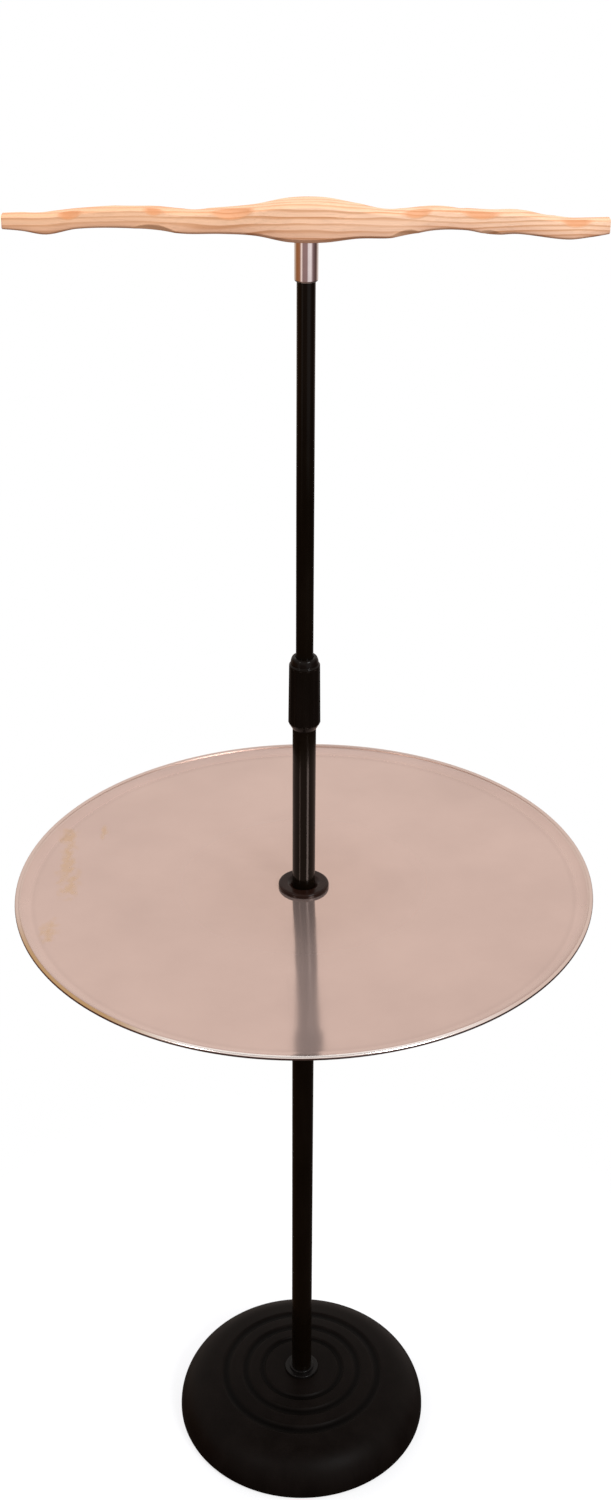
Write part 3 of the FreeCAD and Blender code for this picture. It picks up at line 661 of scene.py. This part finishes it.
basePlate = {"thick": 0.002, "dish": 0.026, "edge": 0.0006, "steps": 128}


def makeBasePlate():
    low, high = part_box("base_plate")
    thick, dish = basePlate["thick"], basePlate["dish"]
    hole = baseShell["rodHole"]
    bm = bmesh.new()
    drawSection(bm, (hole, high.z - thick), (
        (dish - thick, high.z - thick), (dish - thick, low.z), (high.x, low.z), (high.x, low.z + thick),
        (dish, low.z + thick), (dish, high.z), (hole, high.z),
    ))
    turnSection(bm, basePlate["steps"])
    softenEdges(bm, basePlate["edge"], segments=3)
    addPiece("basePlate", bm, platePaint, "stand", "plate_painted", "base_plate")


footPads = {
    "radius": 0.011,
    "circle": 0.112,
    "count": 4,
    "round": 0.0008,
    "dimple": 0.0005,
    "dimpleShare": (0.45, 0.55),    # its flat and its edge, over the pad's radius
    "steps": 40,
}


def makeFootPads():
    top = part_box("foot_pads")[1].z
    radius, dimple = footPads["radius"], footPads["dimple"]
    inner, outer = footPads["dimpleShare"]
    bm = bmesh.new()
    for index in range(footPads["count"]):
        one = bmesh.new()
        drawSection(one, (0, dimple), (
            (radius * inner, dimple), (radius * outer, 0), (radius, 0), (radius, top), (0, top),
        ), closed=False)
        turnSection(one, footPads["steps"])
        softenEdges(one, footPads["round"], segments=3)
        turn = Matrix.Rotation(math.radians(360 * (index + 0.5) / footPads["count"]), 4, "Z")
        place = turn @ Matrix.Translation((footPads["circle"], 0, 0))
        bmesh.ops.transform(one, matrix=place, verts=one.verts[:])
        holder = bpy.data.meshes.new("pad")
        one.to_mesh(holder)
        one.free()
        bm.from_mesh(holder)
        bpy.data.meshes.remove(holder)
    addPiece("footPads", bm, rubber, "stand", "rubber_black", "foot_pads")


baseNut = {"across": 0.018, "bore": 0.00605, "boreRoom": 1.1, "edge": 0.00055}


def makeBaseNut():
    low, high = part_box("base_nut")
    corner = baseNut["across"] / 2 / math.cos(math.pi / 6)
    place = Matrix.Translation((0, 0, (low.z + high.z) / 2)) @ Matrix.Rotation(math.pi / 6, 4, "Z")
    bm = bmesh.new()
    bmesh.ops.create_cone(bm, cap_ends=True, segments=6, radius1=corner, radius2=corner, depth=high.z - low.z,
                          matrix=place)
    caps = [f for f in bm.faces if len(f.verts) == 6]
    bmesh.ops.inset_region(bm, faces=caps, thickness=corner - baseNut["bore"] * baseNut["boreRoom"], depth=0)
    hubs = sorted((f for f in bm.faces if len(f.verts) == 6), key=lambda f: f.calc_center_median().z)
    bmesh.ops.bridge_loops(bm, edges=[e for f in hubs for e in f.edges])
    bmesh.ops.delete(bm, geom=hubs, context="FACES_ONLY")
    tidyMesh(bm)
    softenEdges(bm, baseNut["edge"])
    addPiece("baseNut", bm, zinc, "stand", "zinc_steel", "base_nut")


footCollar = {"disc": 0.003, "ring": 0.0135, "lip": 0.0009, "gap": 0.00005}


def makeFootCollar():
    low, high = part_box("foot_washer")
    step, inside = low.z + footCollar["disc"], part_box("lower_tube")[1].x + footCollar["gap"]
    lip, ring, hole = footCollar["lip"], footCollar["ring"], baseShell["rodHole"]
    bm = bmesh.new()
    drawSection(bm, (hole, low.z), (
        (high.x, low.z), (high.x, step - lip), (high.x - lip, step - lip, 90, 5),
        (ring, step), (ring, high.z - lip), (ring - lip, high.z - lip, 90, 5),
        (inside, high.z), (inside, step), (hole, step),
    ))
    turnSection(bm)
    addPiece("footCollar", bm, footPaint, "stand", "washer_black", "foot_washer")


makeBaseShell()
makeBasePlate()
makeFootPads()
makeBaseNut()
makeFootCollar()
print("base is built")


# the column: two tubes, the clutch and the sleeve

tubes = {"wall": 0.0012, "edge": 0.0003, "steps": 72}


def makeTube(name, node, body):
    low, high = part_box(node)
    bm = turnRing(high.x - tubes["wall"], high.x, low.z, high.z, tubes["steps"])
    softenEdges(bm, tubes["edge"])
    addPiece(name, bm, tubePaint, body, "tube_black", node)


clutchGrip = {
    "shoulderRadius": 0.01425,
    "chamferHeight": 0.006,
    "footRadius": 0.0115,
    "noseHeight": 0.008,
    "ledge": 0.001,
    "noseFoot": 0.013,
    "noseTop": 0.0112,
    "noseRound": 0.0018,
    "shoulderEdge": 0.0004,
    "edgeAngle": 24,
    "edgeRoom": (0.0005, 0.0001),    # edges further out than the bore and over the shoulder are rounded
    "tubeGap": 0.0003,
    "mastGap": 0.0005,
    "flutes": 12,
    "fluteWidth": 0.005,
    "fluteDepth": 0.00065,
    "fluteEnd": 0.0008,
    "skinFrom": 0.0125,              # flutes are cut in what lies outside this radius
    "stepsPerFlute": 24,
    "bodyRows": 46,
    "chamferRows": 6,
}


def makeClutchGrip():
    low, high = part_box("clutch_grip")
    grip = clutchGrip
    wide, narrow = high.x, grip["shoulderRadius"]
    chest, shoulder = low.z + grip["chamferHeight"], high.z - grip["noseHeight"]
    foot, top = grip["noseFoot"], grip["noseTop"]
    rise = grip["noseHeight"] - grip["ledge"]
    dome = ((foot - top) ** 2 + rise**2) / (2 * (foot - top))
    # the nose's round touches the dome from inside and the flat top
    nose = grip["noseRound"]
    domeTurn = math.asin((rise - nose) / (dome - nose))
    noseMiddle = foot - dome + (dome - nose) * math.cos(domeTurn)
    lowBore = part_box("lower_tube")[1].x + grip["tubeGap"]
    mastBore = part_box("upper_tube")[1].x + grip["mastGap"]
    bm = bmesh.new()
    drawSection(bm, (lowBore, low.z), (
        (grip["footRadius"], low.z), (wide, chest), (narrow, shoulder), (foot, shoulder + grip["ledge"]),
        (foot - dome, shoulder + grip["ledge"], math.degrees(domeTurn), 10),
        (noseMiddle, high.z - nose, 90 - math.degrees(domeTurn), 8),
        (mastBore, high.z), (mastBore, shoulder), (lowBore, shoulder),
    ))
    body = [e for e in bm.edges if e.verts[0].co.x > grip["skinFrom"]
            and e.calc_length() > (shoulder - chest) / 2]
    bmesh.ops.subdivide_edges(bm, edges=body, cuts=grip["bodyRows"])
    chamfer = [e for e in bm.edges if max(v.co.z for v in e.verts) <= chest + 1e-6
               and e.calc_length() > grip["chamferHeight"] / 2]
    bmesh.ops.subdivide_edges(bm, edges=chamfer, cuts=grip["chamferRows"])
    turnSection(bm, grip["flutes"] * grip["stepsPerFlute"])
    cutter = (grip["fluteWidth"] ** 2 / 4 + grip["fluteDepth"] ** 2) / (2 * grip["fluteDepth"])
    endReach = math.sqrt(2 * cutter * grip["fluteDepth"] - grip["fluteDepth"] ** 2)
    endHeight = shoulder - grip["fluteEnd"] - endReach
    taper = (wide - narrow) / (shoulder - chest)
    pitch = 2 * math.pi / grip["flutes"]
    for vert in bm.verts:
        reach = math.hypot(vert.co.x, vert.co.y)
        if reach < grip["skinFrom"] or vert.co.z > shoulder:
            continue
        angle = math.atan2(vert.co.y, vert.co.x)
        aside = reach * (angle % pitch - pitch / 2)
        past = max(0.0, vert.co.z - endHeight)
        skin = narrow + taper * (shoulder - vert.co.z)
        cut = skin - grip["fluteDepth"] + (aside**2 + past**2) / (2 * cutter)
        if cut < reach:
            vert.co.xy *= cut / reach
    roomOut, roomDown = grip["edgeRoom"]
    inside, under = mastBore + roomOut, shoulder - roomDown
    rim = [e for e in hardEdges(bm, grip["edgeAngle"])
           if all(math.hypot(v.co.x, v.co.y) > inside and v.co.z > under for v in e.verts)]
    roundEdges(bm, rim, grip["shoulderEdge"], 3)
    addPiece("clutchGrip", bm, gripPlastic, "clutch_grip", "grip_black", "clutch_grip", sharp=30)


perchSleeve = {"bottomRound": 0.0017, "topEdge": 0.0004, "tubeGap": 0.0001, "web": 0.014, "screwHole": 0.0026}


def makePerchSleeve():
    low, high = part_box("perch_sleeve")
    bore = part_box("upper_tube")[1].x + perchSleeve["tubeGap"]
    lip, edge, hole = perchSleeve["bottomRound"], perchSleeve["topEdge"], perchSleeve["screwHole"]
    bm = bmesh.new()
    drawSection(bm, (bore, low.z), (
        (high.x - lip, low.z), (high.x - lip, low.z + lip, 90, 8), (high.x, high.z - edge),
        (high.x - edge, high.z), (hole, high.z), (hole, high.z - perchSleeve["web"]),
        (bore, high.z - perchSleeve["web"]),
    ))
    turnSection(bm)
    addPiece("perchSleeve", bm, stainless, "mast", "stainless_steel", "perch_sleeve")


makeTube("lowerTube", "lower_tube", "stand")
makeTube("upperTube", "upper_tube", "mast")
makeClutchGrip()
makePerchSleeve()
print("column is built")


# the carved perch

perchBar = {
    # x, middle over the seat, height, middle in y, depth, all in millimetres
    "stations": (
        (-248, 13.8, 11.4, 0.5, 12.0), (-232, 13.2, 13.0, 1.5, 14.0), (-212, 11.9, 16.2, 2.4, 16.4),
        (-186, 16.2, 13.9, 0.2, 17.4), (-146, 18.5, 16.2, -2.8, 15.6), (-122, 16.9, 17.4, -1.8, 17.0),
        (-98, 14.0, 17.6, 1.4, 18.0), (-70, 14.5, 18.7, 2.2, 18.4), (-42, 15.6, 22.2, 0.5, 21.8),
        (-14, 15.8, 31.4, 0.0, 29.0), (14, 15.9, 32.0, 0.0, 29.0), (42, 15.3, 25.0, -0.5, 22.6),
        (72, 14.1, 20.8, -2.2, 19.0), (103, 18.1, 17.3, -1.0, 17.4), (130, 16.6, 15.4, 2.2, 16.4),
        (151, 14.3, 17.9, 1.9, 17.4), (172, 15.4, 17.2, -0.9, 17.0), (212, 10.5, 15.5, -2.3, 16.0),
        (232, 11.2, 13.8, -1.0, 14.0), (247, 12.5, 12.0, 0.0, 12.0),
    ),
    # scoops in the front edges: x, half length, depth; the back edges have them end for end
    "topScoops": (
        (-192, 11, 3.6), (-124, 9, 3.0), (-60, 19, 4.8), (90, 13, 3.8), (141, 18, 3.4), (219, 15, 3.2),
    ),
    "lowScoops": ((-123, 20, 3.8), (80, 14, 3.8), (150, 11, 3.0)),
    "scoopTone": 2.5,                # a scoop this deep has its full end-grain tone and painted shade
    "lowScoopTone": 0.3,
    "lowEdgeShadeReach": (-0.5, 0.15),    # heights over the section's height, where the painted shade on the lower edge fades
    "ridgeRound": 0.0007,
    "cornerShare": 0.2,
    "lengthCuts": 164,
    "flatSteps": 6,
    "cornerSteps": 3,
}


def stationAt(x):
    # smooth course through the stations
    rows = perchBar["stations"]
    index = 0
    while index < len(rows) - 2 and x > rows[index + 1][0]:
        index += 1
    near, far = rows[index], rows[index + 1]
    before, after = rows[max(0, index - 1)], rows[min(len(rows) - 1, index + 2)]
    span = far[0] - near[0]
    t = (x - near[0]) / span
    values = []
    for k in range(1, 5):
        startSlope = (far[k] - before[k]) / (far[0] - before[0]) * span
        endSlope = (after[k] - near[k]) / (after[0] - near[0]) * span
        values.append((2 * t**3 - 3 * t**2 + 1) * near[k] + (t**3 - 2 * t**2 + t) * startSlope
                      + (3 * t**2 - 2 * t**3) * far[k] + (t**3 - t**2) * endSlope)
    return values


def scoopDepth(edge, x):
    # the four long edges are counted round from the top at the back
    x = x if edge in (1, 2) else -x
    deepest = 0.0
    for middle, half, depth in perchBar["topScoops" if edge < 2 else "lowScoops"]:
        radius = (half**2 + depth**2) / (2 * depth)
        if abs(x - middle) < half:
            deepest = max(deepest, depth - radius + math.sqrt(radius**2 - (x - middle) ** 2))
    return deepest


def perchCorners(x):
    # eight corners of the section at x, round from the back, as (y, z)
    middleZ, height, middleY, depth = stationAt(x)
    halfY, halfZ = depth / 2, height / 2
    plain = perchBar["cornerShare"] * min(height, depth) * (math.sqrt(2) - 1)
    corners = []
    for edge, (sideY, sideZ) in enumerate(((1, 1), (-1, 1), (-1, -1), (1, -1))):
        cut = math.sqrt(2) * max(plain, scoopDepth(edge, x))
        pair = [(sideY * halfY, sideZ * (halfZ - cut)), (sideY * (halfY - cut), sideZ * halfZ)]
        corners += pair if sideY * sideZ > 0 else pair[::-1]
    return [(middleY + y, middleZ + z) for y, z in corners]


def makePerch():
    low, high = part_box("perch")
    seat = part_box("perch_sleeve")[1].z
    flat, corner = perchBar["flatSteps"], perchBar["cornerSteps"]
    around = 4 * (flat + corner)
    bm = bmesh.new()
    bmesh.ops.create_cone(bm, cap_ends=True, segments=around, radius1=1, radius2=1, depth=1,
                          matrix=Matrix.Rotation(math.pi / 2, 4, "Y"))
    long = [e for e in bm.edges if abs(e.verts[0].co.x - e.verts[1].co.x) > 0.5]
    bmesh.ops.subdivide_edges(bm, edges=long, cuts=perchBar["lengthCuts"], use_grid_fill=True)
    steps = []
    for index in range(4):
        steps += [(2 * index, k / corner) for k in range(corner)]
        steps += [(2 * index + 1, k / flat) for k in range(flat)]
    creases = {k for k in range(around) if steps[k][1] == 0}
    place = bm.verts.layers.int.new("place")
    # vertex masks: end-grain tone with painted shade in the scoops, and painted shade towards the bottom of
    # each section
    scoopGrainAndShade = bm.verts.layers.float.new("scoopGrainAndShade")
    lowEdgeShade = bm.verts.layers.float.new("lowEdgeShade")
    for vert in bm.verts:
        vert[place] = round(math.atan2(vert.co.z, vert.co.y) / (2 * math.pi) * around) % around
        x = 1000 * (low.x + (vert.co.x + 0.5) * (high.x - low.x))
        corners = perchCorners(x)
        side, share = steps[vert[place]]
        start, end = corners[side], corners[(side + 1) % 8]
        y = start[0] + share * (end[0] - start[0])
        z = start[1] + share * (end[1] - start[1])
        vert.co = (x / 1000, y / 1000, seat + z / 1000)
        middleZ, height = stationAt(x)[:2]
        # painted shade, darker towards the bottom of the section and taken out in the scoops
        vert[lowEdgeShade] = 1 - smoothStep((z - middleZ) / height, *perchBar["lowEdgeShadeReach"])
        if side % 2 == 0 or share == 0:
            tone = min(1.0, scoopDepth(side // 2, x) / perchBar["scoopTone"])
            vert[scoopGrainAndShade] = tone * (1.0 if side < 4 else perchBar["lowScoopTone"])
            vert[lowEdgeShade] *= 1 - tone
    bmesh.ops.recalc_face_normals(bm, faces=bm.faces[:])
    ridges = [e for e in bm.edges if e.verts[0][place] == e.verts[1][place] and e.verts[0][place] in creases]
    ends = [e for f in bm.faces if len(f.verts) > 4 for e in f.edges]
    roundEdges(bm, ridges + ends, perchBar["ridgeRound"])
    bm.verts.layers.int.remove(place)
    addPiece("perch", bm, pine, "mast", "pine", "perch", sharp=50)


makePerch()
print("perch is carved")


# the tray and what carries it

traySheetShape = {
    "thick": 0.0012,
    "rimWidth": 0.015,
    "rimRise": 0.005,
    "bendShare": 0.94,         # how much of the rim's bend is made before the bead starts
    "bead": 0.0022,
    "beadFrom": 150,           # degrees
    "beadTurn": -300,
    "neckGap": 0.0003,
    "floor": 0.707,
    "lean": 0.0045,            # how far the sheet is out of true at the rim, up on the right
    "leanFrom": (0.022, 0.07),
    "floorCuts": 56,
    "steps": 180,
}


def makeTray():
    shape = traySheetShape
    outer, floor, thick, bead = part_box("tray")[1].x, shape["floor"], shape["thick"], shape["bead"]
    holeRadius = trayBush["neck"] + shape["neckGap"]
    bend = (shape["rimWidth"] ** 2 + shape["rimRise"] ** 2) / (2 * shape["rimRise"])
    sweep = math.asin(shape["rimWidth"] / bend)
    middle = bend + thick / 2
    bendStart = outer - bead - middle * math.sin(sweep)
    bent = shape["bendShare"] * sweep
    beadR, beadZ = outer - bead, floor + bend - middle * math.cos(sweep)
    beadFrom = math.radians(shape["beadFrom"])
    bm = bmesh.new()
    drawSection(bm, (holeRadius, floor), (
        (bendStart, floor),
        (bendStart, floor + bend, math.degrees(bent), 10),
        (beadR + bead * math.cos(beadFrom), beadZ + bead * math.sin(beadFrom)),
        (beadR, beadZ, shape["beadTurn"], 16),
        (bendStart + (bend + thick) * math.sin(bent), floor + bend - (bend + thick) * math.cos(bent)),
        (bendStart, floor + bend, -math.degrees(bent), 10),
        (holeRadius, floor - thick),
    ))
    broad = [e for e in bm.edges if e.calc_length() > outer / 2]
    bmesh.ops.subdivide_edges(bm, edges=broad, cuts=shape["floorCuts"])
    turnSection(bm, shape["steps"])
    # the sheet is true at its hole and out of true towards the rim
    for vert in bm.verts:
        reach = math.hypot(vert.co.x, vert.co.y)
        vert.co.z += shape["lean"] * vert.co.x / outer * smoothStep(reach, *shape["leanFrom"])
    addPiece("tray", bm, traySheet, "tray", "tray_aluminium", "tray", sharp=60)


trayBush = {
    "neck": 0.0135,
    "crest": 0.015,
    "crestRound": 0.0012,
    "rimRound": 0.0022,
    "footRound": 0.0005,
    "throat": 0.0012,
    "tubeGap": 0.0003,
}


def makeTrayFlange():
    low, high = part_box("tray_flange")
    bush, floor = trayBush, traySheetShape["floor"]
    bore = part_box("lower_tube")[1].x + bush["tubeGap"]
    rim, foot, crest = bush["rimRound"], bush["footRound"], bush["crest"]
    bm = bmesh.new()
    drawSection(bm, (bore, low.z), (
        (bush["neck"], low.z), (bush["neck"], floor), (high.x - foot, floor),
        (high.x - foot, floor + foot, 90, 4), (high.x, high.z - rim), (high.x - rim, high.z - rim, 90, 8),
        (crest + bush["crestRound"], high.z), (crest, high.z - bush["crestRound"] / 3),
        (bore, floor + bush["throat"]),
    ))
    turnSection(bm)
    addPiece("trayFlange", bm, flangePlastic, "tray", "flange_black", "tray_flange", sharp=50)


trayGasket = {"edge": 0.00025}


def makeTrayGasket():
    low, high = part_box("tray_gasket")
    bm = turnRing(trayBush["neck"] + traySheetShape["neckGap"], high.x, low.z, high.z)
    softenEdges(bm, trayGasket["edge"])
    addPiece("trayGasket", bm, rubber, "tray", "rubber_black", "tray_gasket")


ringNut = {
    "outer": 0.022,
    "threadGap": 0.00005,
    "notches": 8,
    "notchRadius": 0.003,
    "edge": 0.0006,
    "edgeAngle": 50,
    "stepsPerNotch": 24,
}


def makeRingNut():
    low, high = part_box("tray_nut")
    nut = ringNut
    bore, outer = trayBush["neck"] + nut["threadGap"], nut["outer"]
    bm = turnRing(bore, outer, low.z, high.z, nut["notches"] * nut["stepsPerNotch"])
    pitch = 2 * math.pi / nut["notches"]
    for vert in bm.verts:
        reach = math.hypot(vert.co.x, vert.co.y)
        angle = (math.atan2(vert.co.y, vert.co.x) + pitch / 2) % pitch - pitch / 2
        aside = outer * math.sin(angle)
        if reach > outer - 1e-5 and abs(aside) < nut["notchRadius"]:
            vert.co.xy *= (outer - math.sqrt(nut["notchRadius"] ** 2 - aside**2)) / reach
    softenEdges(bm, nut["edge"], nut["edgeAngle"])
    addPiece("trayNut", bm, flangePlastic, "tray", "flange_black", "tray_nut")


slideCollar = {"tubeGap": 0.00015, "edge": 0.0008}


def makeSlideCollar():
    low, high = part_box("tray_collar")
    bm = turnRing(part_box("lower_tube")[1].x + slideCollar["tubeGap"], high.x, low.z, high.z)
    softenEdges(bm, slideCollar["edge"], segments=3)
    addPiece("slideCollar", bm, collarPaint, "tray_carrier", "collar_black", "tray_collar")


def layAlongX(bm, height):
    # a piece turned about Z is laid along X at the collar's middle
    bmesh.ops.rotate(bm, verts=bm.verts[:], cent=(0, 0, 0), matrix=Matrix.Rotation(math.pi / 2, 3, "Y"))
    bmesh.ops.translate(bm, verts=bm.verts[:], vec=(0, 0, height))
    bmesh.ops.recalc_face_normals(bm, faces=bm.faces[:])


thumbScrew = {"pitch": 0.001, "threadDepth": 0.0005, "steps": 40}


def makeThumbScrew():
    low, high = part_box("collar_screw")
    radius, pitch = (high.z - low.z) / 2, thumbScrew["pitch"]
    root = radius - thumbScrew["threadDepth"]
    moves = [(root, low.x)]
    for index in range(int((high.x - low.x) / pitch)):
        moves += [(radius, low.x + (index + 0.5) * pitch), (root, low.x + (index + 1) * pitch)]
    bm = bmesh.new()
    drawSection(bm, (0, low.x), moves + [(root, high.x), (0, high.x)], closed=False)
    turnSection(bm, thumbScrew["steps"])
    layAlongX(bm, (high.z + low.z) / 2)
    addPiece("thumbScrew", bm, zinc, "thumb_screw", "zinc_steel", "collar_screw", sharp=25)


thumbKnob = {
    "start": 0.0265,
    "hub": 0.007,
    "edge": 0.0014,
    "dimple": 0.0008,
    "dimpleShare": (0.42, 0.5),    # its flat and its edge, over the knob's radius
    "socket": 0.004,
    "lobes": 6,
    "lobeDip": 0.002,
    "lobeFrom": 0.6,
    "lobeBlend": (0.55, 0.95),
    "stepsPerLobe": 16,
}


def makeKnob():
    low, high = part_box("collar_knob")
    screwLow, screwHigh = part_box("collar_screw")
    bore = (screwHigh.z - screwLow.z) / 2
    knob = thumbKnob
    outer, start, edge = (high.y - low.y) / 2, knob["start"], knob["edge"]
    dimple, socket = high.x - knob["dimple"], low.x + knob["socket"]
    flat, lip = knob["dimpleShare"]
    bm = bmesh.new()
    drawSection(bm, (0, dimple), (
        (outer * flat, dimple), (outer * lip, high.x), (outer - edge, high.x),
        (outer - edge, high.x - edge, -90, 6), (outer, start + edge),
        (outer - edge, start + edge, -90, 6), (knob["hub"], start),
        (knob["hub"], low.x), (bore, low.x), (bore, socket), (0, socket),
    ), closed=False)
    turnSection(bm, knob["lobes"] * knob["stepsPerLobe"])
    blendLow, blendHigh = (outer * share for share in knob["lobeBlend"])
    for vert in bm.verts:
        reach = math.hypot(vert.co.x, vert.co.y)
        if reach > outer * knob["lobeFrom"] and vert.co.z > start - 1e-6:
            wave = 0.5 + 0.5 * math.cos(knob["lobes"] * math.atan2(vert.co.y, vert.co.x))
            dip = knob["lobeDip"] / outer * wave**2
            vert.co.xy *= 1 - dip * smoothStep(reach, blendLow, blendHigh)
    layAlongX(bm, (screwLow.z + screwHigh.z) / 2)
    addPiece("thumbKnob", bm, gripPlastic, "thumb_screw", "grip_black", "collar_knob", sharp=40)


makeTray()
makeTrayFlange()
makeTrayGasket()
makeRingNut()
makeSlideCollar()
makeThumbScrew()
makeKnob()
print("tray and carrier are built")


# the inner pieces keep their solids and get their own finishes

innerFinishes = {
    "base_ballast": concrete,
    "column_stud": zinc,
    "clutch_ferrule": zinc,
    "clutch_collet": nylon,
    "mast_guide": nylon,
    "mast_stud": zinc,
    "perch_screw": zinc,
}
for node, material in innerFinishes.items():
    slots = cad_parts[node].data.materials
    slots.clear()
    slots.append(material)
print("inner pieces are finished:", len(innerFinishes))

bpy.context.view_layer.update()
